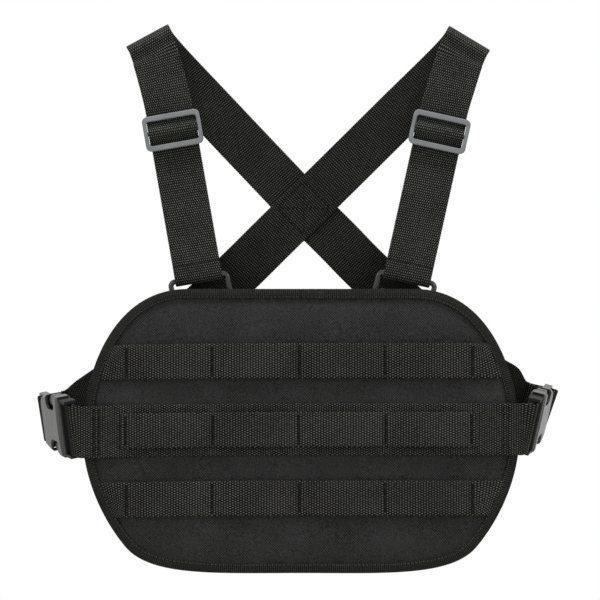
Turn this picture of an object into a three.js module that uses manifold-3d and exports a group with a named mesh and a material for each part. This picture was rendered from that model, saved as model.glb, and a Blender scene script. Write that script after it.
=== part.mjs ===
// A chest rig: a padded front panel with three rows of looped attachment webbing, a chest belt
// that ends in two side-release buckles, and two shoulder straps that cross in an X behind.
// Each shoulder strap starts at a rectangular ring on the panel's top edge, runs up through a
// tri-glide slider, folds over the shoulder, crosses the other strap, and runs down behind the
// panel to the buckle on the far side.
//
// Millimetres, +Z up. The front faces -Y and +X is to the right, seen from the front. The origin
// is the centre of the panel's flat rear face, which lies in the plane y = 0.
import * as THREE from "three";
import { mergeVertices } from "three/addons/utils/BufferGeometryUtils.js";
import Module from "manifold-3d";

const wasm = await Module();
wasm.setup();

// ---------------------------------------------------------------------------------------------
// Driving dimensions
// ---------------------------------------------------------------------------------------------

const GAP = 0.3; // clearance between two pieces that touch

// The panel: a front shell and a rear lining round a foam pad, with a folded tape round the edge.
const PANEL = {
  top: 105,
  bottom: -105,
  halfWidth: 161.5,
  widestZ: -2.9,
  topFlat: 83.9, // half length of the straight top edge
  shoulderReach: 57.5, // how long the outline keeps going level past it
  sideReach: 41.5, // how long it runs straight down to the widest point
  cornerX: 129.8, // where the side turns into the bottom edge
  cornerZ: -85.7,
  cornerSlope: 0.7, // radians between the outline and the vertical there
  cornerReach: 29,
  bottomFlat: 62.9, // half length of the nearly straight bottom edge
  points: 56, // points round the outline
};
const FABRIC = 1.0; // thickness of the shell, the lining and the binding tape
const FOAM = 4.0;
const SHELL_FRONT_Y = -(FABRIC + GAP + FOAM + GAP + FABRIC);
const RIM_FRONT_Y = -4.0; // front face of the shell where the binding grips it
const RIM_WIDTH = 8; // flat rim of the shell, then it rises over the foam
const RISE_WIDTH = 6;
const BINDING_WIDTH = 7.2;
const LINING_FIELD = { inset: 12, top: 58, depth: 0.25 }; // stands proud of the sewn edges

// Attachment webbing: three rows on a 2 inch grid, each held by five lines of stitching.
const ROW = {
  width: 25.4,
  thickness: 1.2,
  pitch: 50.8,
  cell: 64, // distance between stitch lines
  cells: 4,
  shift: -1.6, // the stitch lines sit a little to the left of the panel's middle
  sewn: 3, // half width that lies flat at each stitch line
  rise: 11, // width of the slope beside it
  lift: 4.1, // how far the webbing stands off between stitch lines
  tail: 4, // free end past the outer stitch lines of the middle row
};
const SAG = 2.2; // how far the rows and the belt drop towards the left edge

const BELT = { width: 38, thickness: 1.5, z: 1.3, hemX: 151 };

// Shoulder webbing, its rings and its sliders.
const STRAP = { width: 34, thickness: 1.6 };
const RING = { innerWidth: 38.5, innerHeight: 11, wire: 4, corner: 3.2, y: 5, z: 106 };
const RING_BAR_Z = RING.innerHeight / 2 + RING.wire / 2; // bars above and below the ring's centre
const RING_LOOP_TOP = 18; // height of the sewn loop above the ring's centre
const KEEPER = { width: 34, thickness: 1.4, bottom: -38 };
const SLIDER = {
  width: 43,
  height: 26,
  thickness: 3.5,
  windowWidth: 37,
  windowHeight: 18,
  barHeight: 3,
  barThickness: 1.8,
  distance: 118.2, // from the ring's centre, along the strap
};
const SHOULDER_RADIUS = 6; // of the strap's middle layer, where it folds over

// Side-release buckles for 38 mm webbing. Along: from the belt's bar to the rear strap's bar.
const BUCKLE = {
  width: 46,
  thickness: 12,
  barRadius: 2,
  barToBar: 58,
  baseStart: 6.5, // the male's base block
  baseEnd: 9.9,
  baseWidth: 43.4,
  mouth: 12.6, // the female's open end
  mouthCurve: 3.2, // how far the mouth is hollowed in the middle
  cavityEnd: 44,
  cavityWidth: 40.6,
  cavityThickness: 8,
  bodyEnd: 51.5,
  farWidth: 39, // over the female's far corners
  armWidth: 2.3,
};
const PRONG = { pivotAlong: 12.4, pivotSide: 17.2, rootRadius: 2.1, thickness: 7.2 };
const LOOP_LENGTH = 14; // sewn strap loop on the female's bar

// The two sides differ a little in how the straps lie, so each has its own angles and places.
const SIDES = [
  {
    name: "left",
    sign: -1,
    ringX: -74.5,
    strapLean: 9.95, // degrees from vertical, outwards
    bar: [-169.2, 1.4, 1.4], // middle of the male's belt bar
    yaw: 71, // degrees the buckle turns back from the belt's line
    lean: 7.5, // degrees the buckle's top leans outwards
    tip: 11, // degrees the buckle's top tips to the front
    slack: 0.9, // how far the rear strap's loop stands off its bar
    skew: 0.4, // how much further it stands off at the top
  },
  {
    name: "right",
    sign: 1,
    ringX: 76.9,
    strapLean: 12.5,
    bar: [168.7, 1.4, 3.8],
    yaw: 81,
    lean: 12.5,
    tip: 14,
    slack: 2.2,
    skew: 1.9,
  },
];

// Routes of the shoulder straps past the slider, by hand. Each key is the middle of the strap
// and the angle of its width above +X, in degrees.
const ROUTES = {
  left: {
    upper: [
      [-102.0, 1.9, 256.8, 14],
      [-106.9, 1.9, 274.5, 17.5],
    ],
    fold: { x: -114.1, z: 293, angle: 28.5 },
    lower: [
      [-104.5, 13.6, 278.6, 40],
      [-60.4, 13.4, 231.4, 43.3],
      [-22.0, 13.2, 190.9, 43.3],
      [2.2, 13.2, 165.6, 43.8],
      [26.4, 13.6, 141.6, 44.3],
      [48.2, 18.4, 119.4, 44.5],
      [97.0, 33.0, 75.0, 47],
      [137.5, 48.5, 40.8, 52.3],
      [156.5, 57.5, 29.0, 70],
    ],
    farSide: 1,
  },
  right: {
    upper: [
      [111.7, 1.9, 256.8, -15],
      [117.3, 1.9, 274.5, -18.5],
    ],
    fold: { x: 125.0, z: 291.1, angle: -31 },
    lower: [
      [115.5, 13.6, 277.6, -42],
      [70.0, 11.6, 232.4, -45],
      [26.4, 11.0, 189.2, -45.2],
      [2.2, 11.0, 165.4, -45.2],
      [-21.8, 11.2, 141.8, -45],
      [-45.1, 17.4, 118.8, -44.8],
      [-98.0, 32.0, 69.0, -48],
      [-138.5, 48.5, 35.6, -57],
      [-160.5, 57.0, 20.8, -69],
    ],
    farSide: 0,
  },
};

// ---------------------------------------------------------------------------------------------
// Materials
// ---------------------------------------------------------------------------------------------

const material = (color, roughness, metalness = 0) =>
  new THREE.MeshStandardMaterial({ color, roughness, metalness });

const CANVAS = material(0x1b1b1c, 0.9);
const LINING = material(0x161617, 0.9);
const FOAM_GREY = material(0x3a3a3c, 0.95);
const TAPE = material(0x222224, 0.85);
const WEBBING = material(0x1d1d1d, 0.8);
const ACETAL = material(0x4a4b4b, 0.4);
const GLIDE = material(0x46484a, 0.45);
const ENAMEL = material(0x121213, 0.25, 0.3);

// ---------------------------------------------------------------------------------------------
// Geometry helpers
// ---------------------------------------------------------------------------------------------

const radians = THREE.MathUtils.degToRad;
const vec = (x, y, z) => new THREE.Vector3(x, y, z);

// A closed skin over a row of rings with the same number of points each. Neighbouring rings are
// joined by quads, and the two end rings are capped, or joined to each other.
function skin(rings, ends = "capped") {
  const count = rings[0].length;
  const points = rings.flat();
  const index = [];
  const spans = ends === "joined" ? rings.length : rings.length - 1;
  for (let r = 0; r < spans; r++) {
    const here = r * count;
    const next = ((r + 1) % rings.length) * count;
    for (let i = 0; i < count; i++) {
      const j = (i + 1) % count;
      index.push(here + i, next + i, next + j);
      index.push(here + i, next + j, here + j);
    }
  }
  if (ends === "capped") {
    cap(points, index, 0, count, true);
    cap(points, index, (rings.length - 1) * count, count, false);
  }
  const geometry = new THREE.BufferGeometry();
  geometry.setAttribute(
    "position",
    new THREE.Float32BufferAttribute(points.flatMap((p) => p.toArray()), 3),
  );
  geometry.setIndex(index);
  return facingOut(geometry);
}

// Fills one ring with a fan round its middle.
function cap(points, index, start, count, forward) {
  const middle = vec(0, 0, 0);
  for (let i = 0; i < count; i++) middle.add(points[start + i]);
  points.push(middle.divideScalar(count));
  for (let i = 0; i < count; i++) {
    const a = start + i;
    const b = start + ((i + 1) % count);
    if (forward) index.push(points.length - 1, a, b);
    else index.push(points.length - 1, b, a);
  }
}

// Turns every face round if the closed surface encloses a negative volume.
function facingOut(geometry) {
  const at = geometry.getAttribute("position");
  const index = geometry.getIndex().array;
  const [a, b, c] = [vec(), vec(), vec()];
  let volume = 0;
  for (let i = 0; i < index.length; i += 3) {
    a.fromBufferAttribute(at, index[i]);
    b.fromBufferAttribute(at, index[i + 1]);
    c.fromBufferAttribute(at, index[i + 2]);
    volume += a.dot(b.cross(c));
  }
  if (volume > 0) return geometry;
  const turned = [];
  for (let i = 0; i < index.length; i += 3) turned.push(index[i], index[i + 2], index[i + 1]);
  geometry.setIndex(turned);
  return geometry;
}

// A strip of webbing through stations that each give a point and the direction of the width.
function ribbon(stations, width, thickness) {
  const rings = stations.map((station, i) => {
    const before = stations[Math.max(i - 1, 0)].at;
    const after = stations[Math.min(i + 1, stations.length - 1)].at;
    const tangent = after.clone().sub(before).normalize();
    const normal = tangent.cross(station.across).normalize();
    const side = station.across.clone().multiplyScalar(width / 2);
    const face = normal.multiplyScalar(thickness / 2);
    return [
      station.at.clone().add(side).add(face),
      station.at.clone().sub(side).add(face),
      station.at.clone().sub(side).sub(face),
      station.at.clone().add(side).sub(face),
    ];
  });
  return skin(rings);
}

// Stations on a smooth curve through keys, with the same number of steps between all keys.
function smooth(keys, steps) {
  const curve = new THREE.CatmullRomCurve3(keys.map((key) => key.at));
  const widths = new THREE.CatmullRomCurve3(keys.map((key) => key.across));
  const last = (keys.length - 1) * steps;
  const stations = [];
  for (let i = 0; i <= last; i++) {
    const across = widths.getPoint(i / last).normalize();
    stations.push({ at: curve.getPoint(i / last), across });
  }
  return stations;
}

// The direction of a width that lies in the X-Z plane, at an angle above +X.
const acrossAt = (degrees) => vec(Math.cos(radians(degrees)), 0, Math.sin(radians(degrees)));

// A flat plate in the X-Z plane, centred on y = 0, from an outline drawn in x and z.
function plate(shape, thickness, bevel = 0) {
  const geometry = new THREE.ExtrudeGeometry(shape, {
    depth: thickness - 2 * bevel,
    bevelEnabled: bevel > 0,
    bevelSize: bevel,
    bevelThickness: bevel,
    bevelOffset: -bevel,
    bevelSegments: 1,
    curveSegments: 4,
  });
  geometry.translate(0, 0, bevel - thickness / 2);
  return geometry.rotateX(Math.PI / 2);
}

function roundedRectangle(x, z, width, height, radius) {
  const shape = new THREE.Shape();
  const [left, right] = [x - width / 2, x + width / 2];
  const [low, high] = [z - height / 2, z + height / 2];
  shape.moveTo(left + radius, low);
  shape.lineTo(right - radius, low);
  shape.absarc(right - radius, low + radius, radius, -Math.PI / 2, 0);
  shape.lineTo(right, high - radius);
  shape.absarc(right - radius, high - radius, radius, 0, Math.PI / 2);
  shape.lineTo(left + radius, high);
  shape.absarc(left + radius, high - radius, radius, Math.PI / 2, Math.PI);
  shape.lineTo(left, low + radius);
  shape.absarc(left + radius, low + radius, radius, Math.PI, 1.5 * Math.PI);
  return shape;
}

const box = (x, y, z, width, depth, height) =>
  new THREE.BoxGeometry(width, depth, height).translate(x, y, z);

// Cutting and joining.
function toSolid(geometry) {
  const bare = geometry.clone();
  bare.deleteAttribute("normal");
  bare.deleteAttribute("uv");
  const merged = mergeVertices(bare, 1e-4);
  return new wasm.Manifold(
    new wasm.Mesh({
      numProp: 3,
      vertProperties: new Float32Array(merged.attributes.position.array),
      triVerts: new Uint32Array(merged.index.array),
    }),
  );
}

function toGeometry(solid) {
  const mesh = solid.getMesh();
  const geometry = new THREE.BufferGeometry();
  geometry.setAttribute("position", new THREE.Float32BufferAttribute(mesh.vertProperties, 3));
  geometry.setIndex(new THREE.Uint32BufferAttribute(mesh.triVerts, 1));
  return geometry;
}

const joined = (first, ...others) =>
  toGeometry(others.reduce((sum, one) => sum.add(toSolid(one)), toSolid(first)));
const carved = (first, ...tools) =>
  toGeometry(tools.reduce((rest, one) => rest.subtract(toSolid(one)), toSolid(first)));
const overlapOf = (first, second) => toGeometry(toSolid(first).intersect(toSolid(second)));

// ---------------------------------------------------------------------------------------------
// The part, and the frames of its leaning and turned pieces
// ---------------------------------------------------------------------------------------------

const rig = new THREE.Group();

function add(name, geometry, look, parent = rig) {
  const shaded = geometry.index ? geometry.toNonIndexed() : geometry;
  shaded.computeVertexNormals();
  const mesh = new THREE.Mesh(shaded, look);
  mesh.name = name;
  parent.add(mesh);
}

// Frame of a front strap: origin at the ring's centre, z up along the strap, x along the bars.
function strapFrame(side) {
  const group = new THREE.Group();
  group.position.set(side.ringX, RING.y, RING.z);
  group.rotation.y = side.sign * radians(side.strapLean);
  rig.add(group);
  group.updateMatrixWorld(true);
  return group;
}

// Frame of a buckle: origin at the belt's bar, x along the buckle to the rear strap's bar,
// y outwards through its large face, z along the bars.
function buckleFrame(side) {
  const yaw = radians(side.yaw);
  const bars = vec(
    side.sign * Math.sin(radians(side.lean)),
    -Math.sin(radians(side.tip)),
    Math.cos(radians(side.lean)),
  ).normalize();
  const along = vec(side.sign * Math.cos(yaw), Math.sin(yaw), 0);
  along.addScaledVector(bars, -along.dot(bars)).normalize();
  const z = bars.clone().multiplyScalar(-side.sign);
  const y = z.clone().cross(along);
  const group = new THREE.Group();
  group.quaternion.setFromRotationMatrix(new THREE.Matrix4().makeBasis(along, y, z));
  group.position.set(...side.bar);
  rig.add(group);
  group.updateMatrixWorld(true);
  return group;
}

for (const side of SIDES) {
  side.strap = strapFrame(side);
  side.buckle = buckleFrame(side);
  side.barAxis = vec(0, 0, -side.sign).transformDirection(side.buckle.matrixWorld);
}

// ---------------------------------------------------------------------------------------------
// Panel
// ---------------------------------------------------------------------------------------------

// The outline, one smooth loop: each half is a long curve from the top edge to the widest
// point, a gentler one down the side, and a low one along the bottom.
function panelOutline() {
  const { top, bottom, halfWidth, widestZ, topFlat, shoulderReach, sideReach } = PANEL;
  const { cornerX, cornerZ, cornerSlope, cornerReach, bottomFlat } = PANEL;
  const cornerDx = cornerReach * Math.sin(cornerSlope);
  const cornerDz = cornerReach * Math.cos(cornerSlope);
  const shape = new THREE.Shape();
  shape.moveTo(0, top);
  shape.lineTo(topFlat, top);
  shape.bezierCurveTo(
    topFlat + shoulderReach, top,
    halfWidth, widestZ + sideReach,
    halfWidth, widestZ,
  );
  shape.bezierCurveTo(
    halfWidth, widestZ - cornerReach,
    cornerX + cornerDx, cornerZ + cornerDz,
    cornerX, cornerZ,
  );
  shape.bezierCurveTo(
    cornerX - cornerDx, cornerZ - cornerDz,
    bottomFlat, bottom,
    0, bottom,
  );
  const half = shape.getSpacedPoints(PANEL.points / 2);
  const mirrored = half.slice(1, -1).reverse();
  return [...half, ...mirrored.map((p) => new THREE.Vector2(-p.x, p.y))];
}

const OUTLINE = panelOutline();

// The outline moved inwards, as a ring of points at one depth.
function outlineRing(inset, y) {
  return OUTLINE.map((p, i) => {
    const before = OUTLINE[(i + OUTLINE.length - 1) % OUTLINE.length];
    const after = OUTLINE[(i + 1) % OUTLINE.length];
    const along = after.clone().sub(before).normalize();
    return vec(p.x + along.y * inset, y, p.y - along.x * inset);
  });
}

function makeShell() {
  const edge = FABRIC + GAP;
  const raised = RIM_WIDTH + RISE_WIDTH;
  return skin([
    outlineRing(raised + 0.4, SHELL_FRONT_Y + FABRIC),
    outlineRing(RIM_WIDTH + 0.4, RIM_FRONT_Y + FABRIC),
    outlineRing(edge, RIM_FRONT_Y + FABRIC),
    outlineRing(edge, RIM_FRONT_Y),
    outlineRing(RIM_WIDTH, RIM_FRONT_Y),
    outlineRing(raised, SHELL_FRONT_Y),
  ]);
}

function makeBinding() {
  const front = RIM_FRONT_Y - GAP;
  const rear = GAP;
  const bend = 0.5;
  const profile = [
    [bend, rear + FABRIC],
    [BINDING_WIDTH, rear + FABRIC],
    [BINDING_WIDTH, rear],
    [FABRIC, rear],
    [FABRIC, front],
    [BINDING_WIDTH, front],
    [BINDING_WIDTH, front - FABRIC],
    [bend, front - FABRIC],
    [0, front - FABRIC + bend],
    [0, rear + FABRIC - bend],
  ];
  return skin(profile.map(([inset, y]) => outlineRing(inset, y)), "joined");
}

const slab = (inset, front, rear) => skin([outlineRing(inset, front), outlineRing(inset, rear)]);

// The lining is drawn in where it is sewn: all round its edge, and under the ring keepers.
function makeLining() {
  const { inset, top, depth } = LINING_FIELD;
  const field = outlineRing(inset, -FABRIC / 2).filter((p) => p.z < top);
  const raised = skin([field, field.map((p) => vec(p.x, 0, p.z))]);
  return joined(slab(FABRIC + GAP, -FABRIC, -depth), raised);
}

add("front_shell", makeShell(), CANVAS);
add("foam_pad", slab(RIM_WIDTH + RISE_WIDTH + 2, -FABRIC - GAP - FOAM, -FABRIC - GAP), FOAM_GREY);
add("rear_lining", makeLining(), LINING);
add("edge_binding", makeBinding(), TAPE);

// ---------------------------------------------------------------------------------------------
// Rows of attachment webbing
// ---------------------------------------------------------------------------------------------

const sagAt = (x) => (x < 0 ? -SAG * (x / PANEL.halfWidth) ** 2 : 0);

// A row through its stitch lines: flat where it is sewn, and lifted in a low arch between.
function makeRow(z, rearY, halfLength) {
  const sewnY = rearY - ROW.thickness / 2;
  const outer = (ROW.cells / 2) * ROW.cell;
  const slope = [
    [ROW.sewn, 0],
    [ROW.sewn + ROW.rise * 0.3, 0.2],
    [ROW.sewn + ROW.rise * 0.65, 0.78],
    [ROW.sewn + ROW.rise, 1],
  ];
  const path = [[-halfLength, 0]];
  for (let line = -outer; line <= outer; line += ROW.cell) {
    const falling = slope.map(([away, lift]) => [line - away, lift]).reverse();
    const rising = slope.map(([away, lift]) => [line + away, lift]);
    if (line > -outer) path.push(...falling);
    if (line < outer) path.push(...rising);
  }
  path.push([halfLength, 0]);
  const stations = path.map(([x, lift]) => ({
    at: vec(x + ROW.shift, sewnY - lift * ROW.lift, z + sagAt(x)),
    across: vec(0, 0, 1),
  }));
  return ribbon(stations, ROW.width, ROW.thickness);
}

// Everything in front of or behind the panel that lies inside the binding's inner edge.
const insideBinding = skin([
  outlineRing(BINDING_WIDTH + GAP, -40),
  outlineRing(BINDING_WIDTH + GAP, 40),
]);

const ROW_REAR_Y = SHELL_FRONT_Y - GAP;
const rowEnd = (ROW.cells / 2) * ROW.cell + ROW.tail;
for (const [name, step] of [["top", 1], ["bottom", -1]]) {
  const long = makeRow(BELT.z + step * ROW.pitch, ROW_REAR_Y, PANEL.halfWidth);
  add(`webbing_row_${name}`, overlapOf(long, insideBinding), WEBBING);
}
const beltFrontY = ROW_REAR_Y - BELT.thickness;
add("webbing_row_middle", makeRow(BELT.z, beltFrontY - GAP, rowEnd), WEBBING);

// ---------------------------------------------------------------------------------------------
// Chest belt: one strip across the panel, folded round the belt bar of each buckle
// ---------------------------------------------------------------------------------------------

// Half of the belt from its middle outwards, round the bar and back under itself.
function beltHalf(side) {
  const middleY = ROW_REAR_Y - BELT.thickness / 2;
  const raisedY = RIM_FRONT_Y - FABRIC - 2 * GAP - GAP - 1.5 * BELT.thickness - 0.1;
  const returnY = raisedY + BELT.thickness + GAP + 0.1;
  const wrap = BUCKLE.barRadius + GAP + BELT.thickness / 2;
  const upright = vec(0, 0, 1);
  const onPanel = (x, y) => ({
    at: vec(side.sign * x, y, BELT.z + sagAt(side.sign * x)),
    across: upright,
  });
  const onBuckle = (x, y) => ({
    at: vec(x, y, 0).applyMatrix4(side.buckle.matrixWorld),
    across: side.barAxis.clone(),
  });
  return [
    onPanel(0, middleY),
    onPanel(60, middleY),
    onPanel(100, middleY),
    onPanel(130, middleY),
    onPanel(140, middleY),
    onPanel(149, raisedY),
    onPanel(156, raisedY),
    onPanel(162, raisedY),
    onBuckle(-8.2, wrap + 0.3),
    onBuckle(-4.2, wrap + 0.3),
    onBuckle(-0.6, wrap + 0.05),
    onBuckle(wrap * 0.75, wrap * 0.66),
    onBuckle(wrap, 0),
    onBuckle(wrap * 0.75, -wrap * 0.66),
    onBuckle(0, -wrap),
    onBuckle(-3.6, -wrap * 0.62),
    onBuckle(-7.0, 0.5),
    onPanel(163.5, returnY),
    onPanel(160, returnY),
    onPanel(156, returnY),
    onPanel(BELT.hemX, returnY),
  ];
}

const [leftHalf, rightHalf] = SIDES.map(beltHalf);
const beltKeys = [...leftHalf.slice(1).reverse(), ...rightHalf];
add("chest_belt", ribbon(smooth(beltKeys, 2), BELT.width, BELT.thickness), WEBBING);

// ---------------------------------------------------------------------------------------------
// Buckles, in a buckle's own frame
// ---------------------------------------------------------------------------------------------

// A round bar along z.
const bar = (x, length) =>
  new THREE.CylinderGeometry(BUCKLE.barRadius, BUCKLE.barRadius, length, 12)
    .rotateX(Math.PI / 2)
    .translate(x, 0, 0);

// The side arms that carry a bar at one end of a buckle body, given the width over both.
function arms(from, to, over, depth) {
  const z = (over - BUCKLE.armWidth) / 2;
  return [z, -z].map((where) =>
    box((from + to) / 2, 0, where, to - from, depth, BUCKLE.armWidth),
  );
}

// The male base's outline: straight towards the bar, and bulged towards the female's mouth.
function baseShape() {
  const half = BUCKLE.baseWidth / 2;
  const shape = new THREE.Shape();
  shape.moveTo(BUCKLE.baseStart, -half + 1.5);
  shape.lineTo(BUCKLE.baseEnd, -half);
  shape.quadraticCurveTo(BUCKLE.baseEnd + 2 * BUCKLE.mouthCurve, 0, BUCKLE.baseEnd, half);
  shape.lineTo(BUCKLE.baseStart, half - 1.5);
  return shape;
}

function makeMale() {
  const guideEnd = 38;
  const guide = new THREE.Shape();
  guide.moveTo(BUCKLE.baseEnd - 1, -3.8);
  guide.lineTo(guideEnd - 4, -3);
  guide.quadraticCurveTo(guideEnd + 2, 0, guideEnd - 4, 3);
  guide.lineTo(BUCKLE.baseEnd - 1, 3.8);
  const rootRoom = [1, -1].map((end) =>
    new THREE.CylinderGeometry(PRONG.rootRadius + 0.5, PRONG.rootRadius + 0.5, 20, 16).translate(
      PRONG.pivotAlong,
      0,
      end * PRONG.pivotSide,
    ),
  );
  return carved(
    joined(
      plate(baseShape(), BUCKLE.thickness - 1, 0.8),
      plate(guide, 5),
      bar(0, BUCKLE.baseWidth - BUCKLE.armWidth),
      ...arms(-BUCKLE.barRadius - 0.6, BUCKLE.baseStart + 1.5, BUCKLE.baseWidth, 9.5),
    ),
    ...rootRoom,
  );
}

// The female's body: hollowed mouth, sides that narrow to the far bar, rounded far corners.
function bodyShape() {
  const half = BUCKLE.width / 2;
  const narrow = BUCKLE.farWidth / 2;
  const cornerX = BUCKLE.bodyEnd - 5;
  const shape = new THREE.Shape();
  shape.moveTo(BUCKLE.mouth, -half);
  shape.quadraticCurveTo(BUCKLE.bodyEnd - 17, -half - 0.5, cornerX, -narrow);
  shape.quadraticCurveTo(BUCKLE.bodyEnd, -narrow + 2, BUCKLE.bodyEnd, -narrow + 8);
  shape.lineTo(BUCKLE.bodyEnd, narrow - 8);
  shape.quadraticCurveTo(BUCKLE.bodyEnd, narrow - 2, cornerX, narrow);
  shape.quadraticCurveTo(BUCKLE.bodyEnd - 17, half + 0.5, BUCKLE.mouth, half);
  shape.quadraticCurveTo(BUCKLE.mouth + 2 * BUCKLE.mouthCurve, 0, BUCKLE.mouth, -half);
  return shape;
}

function makeFemale() {
  const cavityLength = BUCKLE.cavityEnd - BUCKLE.mouth + 4;
  const cavity = box(
    BUCKLE.cavityEnd - cavityLength / 2, 0, 0,
    cavityLength, BUCKLE.cavityThickness, BUCKLE.cavityWidth,
  );
  const notches = [1, -1].map((end) =>
    plate(roundedRectangle(29, end * 18.8, 17, 14, 4), 30),
  );
  const { bodyEnd, barToBar, barRadius, farWidth, armWidth } = BUCKLE;
  return carved(
    joined(
      plate(bodyShape(), BUCKLE.thickness, 1.6),
      bar(barToBar, farWidth - armWidth),
      ...arms(bodyEnd - 5, barToBar + barRadius, farWidth, 5.6),
    ),
    cavity,
    ...notches,
  );
}

// One springy prong with a round root, a thumb pad that fills the side notch, and a blunt tip.
function makeProng(end) {
  const inner = 14.2;
  const outer = 19.6;
  const shape = new THREE.Shape();
  const { pivotAlong, pivotSide, rootRadius } = PRONG;
  shape.moveTo(pivotAlong, pivotSide - rootRadius);
  shape.lineTo(30, inner);
  shape.quadraticCurveTo(35, inner + 0.5, 35.5, outer - 2.5);
  shape.lineTo(33.6, outer);
  shape.quadraticCurveTo(29, outer + 5, 21.8, outer + 2.4);
  shape.lineTo(21.4, outer);
  shape.lineTo(pivotAlong, pivotSide + rootRadius);
  shape.absarc(pivotAlong, pivotSide, rootRadius, Math.PI / 2, 1.5 * Math.PI);
  const geometry = plate(shape, PRONG.thickness, 0.5);
  return end > 0 ? geometry : geometry.rotateX(Math.PI);
}

// The end of a rear strap, folded loosely round the far bar and sewn: both layers leave inwards.
function makeRearLoop({ sign, slack, skew }) {
  const wrap = BUCKLE.barRadius + GAP + STRAP.thickness / 2;
  const half = (STRAP.thickness + GAP) / 2;
  const crest = wrap + slack;
  const path = [
    [half, -LOOP_LENGTH, 0],
    [half + 0.3, -LOOP_LENGTH + 4, 0],
    [wrap * 0.9, -2.6, 0.2],
    [wrap, 0.4 * slack, 0.6],
    [wrap * 0.75, crest - 0.3 * wrap, 1],
    [0, crest, 1],
    [-wrap * 0.75, crest - 0.3 * wrap, 1],
    [-wrap, 0.4 * slack, 0.6],
    [-wrap * 0.9, -2.6, 0.2],
    [-half - 0.3, -LOOP_LENGTH + 4, 0],
    [-half, -LOOP_LENGTH, 0],
  ];
  const keys = path.map(([along, out, share]) => ({
    at: vec(BUCKLE.barToBar + along, out, 0),
    across: vec(0, (-sign * share * skew * 2) / STRAP.width, 1).normalize(),
  }));
  return ribbon(smooth(keys, 2), STRAP.width, STRAP.thickness);
}

for (const side of SIDES) {
  const { name, buckle, sign } = side;
  add(`${name}_buckle_male`, makeMale(), ACETAL, buckle);
  add(`${name}_buckle_female`, makeFemale(), ACETAL, buckle);
  add(`${name}_prong_upper`, makeProng(-sign), ACETAL, buckle);
  add(`${name}_prong_lower`, makeProng(sign), ACETAL, buckle);
  add(`${name}_rear_strap_loop`, makeRearLoop(side), WEBBING, buckle);
}

// ---------------------------------------------------------------------------------------------
// Rings, their keepers and the sewn strap loops, in a front strap's frame
// ---------------------------------------------------------------------------------------------

const STRAP_Y = -(RING.wire / 2 + GAP + STRAP.thickness / 2); // front layer of the strap

// A wire ring: a round section carried along a rounded rectangle.
function makeRing() {
  const middle = roundedRectangle(
    0, 0,
    RING.innerWidth + RING.wire, RING.innerHeight + RING.wire,
    RING.corner,
  );
  const path = middle.getPoints(4).slice(0, -1);
  const sides = 8;
  const rings = path.map((p, i) => {
    const before = path[(i + path.length - 1) % path.length];
    const after = path[(i + 1) % path.length];
    const along = after.clone().sub(before).normalize();
    const section = [];
    for (let k = 0; k < sides; k++) {
      const turn = (2 * Math.PI * k) / sides;
      const out = (RING.wire / 2) * Math.cos(turn);
      const y = (RING.wire / 2) * Math.sin(turn);
      section.push(vec(p.x + along.y * out, y, p.y - along.x * out));
    }
    return section;
  });
  return skin(rings, "joined");
}

// Webbing folded round a ring bar that lies at the given height: direction 1 leaves upwards.
function foldedRoundBar(barZ, direction, wrap, tails, width, thickness) {
  const turns = [];
  for (let k = -1; k <= 5; k++) {
    const angle = Math.PI * (k / 4);
    turns.push([-wrap * Math.cos(angle), barZ - direction * wrap * Math.sin(angle)]);
  }
  const [front, rear] = tails;
  const path = [...front, ...turns.slice(1, -1), ...rear];
  const keys = path.map(([y, z]) => ({ at: vec(0, y, z), across: vec(1, 0, 0) }));
  return ribbon(smooth(keys, 2), width, thickness);
}

function makeRingLoop() {
  const top = RING_LOOP_TOP;
  return foldedRoundBar(
    RING_BAR_Z, 1, -STRAP_Y,
    [[[STRAP_Y, top], [STRAP_Y, top - 4]], [[-STRAP_Y, top - 4], [-STRAP_Y, top]]],
    STRAP.width, STRAP.thickness,
  );
}

// The keeper is sewn to the lining below, and steps back over the binding's rear lip.
function makeKeeper() {
  const wrap = RING.wire / 2 + GAP + KEEPER.thickness / 2;
  const liningY = -RING.y + GAP + KEEPER.thickness / 2;
  const lipY = liningY + FABRIC + GAP;
  const front = [
    [liningY, KEEPER.bottom],
    [liningY, KEEPER.bottom + 8],
    [liningY, -18],
    [lipY, -10.5],
  ];
  const backY = liningY + KEEPER.thickness + GAP;
  const rear = [
    [wrap - 0.6, -11.5],
    [backY + 0.4, -21],
    [backY, KEEPER.bottom + 8],
    [backY, KEEPER.bottom],
  ];
  return foldedRoundBar(-RING_BAR_Z, -1, wrap, [front, rear], KEEPER.width, KEEPER.thickness);
}

for (const { name, strap } of SIDES) {
  add(`${name}_ring`, makeRing(), ENAMEL, strap);
  add(`${name}_ring_keeper`, makeKeeper(), WEBBING, strap);
  add(`${name}_strap_ring_loop`, makeRingLoop(), WEBBING, strap);
}

// ---------------------------------------------------------------------------------------------
// Sliders and the webbing that passes over their middle bars
// ---------------------------------------------------------------------------------------------

const OVER_Y = STRAP_Y - STRAP.thickness - GAP; // the layer between the strap and the slider
const SLIDER_Y = OVER_Y - STRAP.thickness / 2 - GAP - SLIDER.thickness / 2;
const SLIDER_BAR_Y = SLIDER_Y + SLIDER.thickness / 2 - SLIDER.barThickness / 2 - 0.3;

function makeSlider() {
  const frame = roundedRectangle(0, 0, SLIDER.width, SLIDER.height, 4);
  frame.holes.push(roundedRectangle(0, 0, SLIDER.windowWidth, SLIDER.windowHeight, 2));
  const middleBar = box(
    0, SLIDER_BAR_Y - SLIDER_Y, 0,
    SLIDER.windowWidth + 1, SLIDER.barThickness, SLIDER.barHeight,
  );
  const whole = joined(plate(frame, SLIDER.thickness, 0.7), middleBar);
  return whole.translate(0, SLIDER_Y, SLIDER.distance);
}

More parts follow.
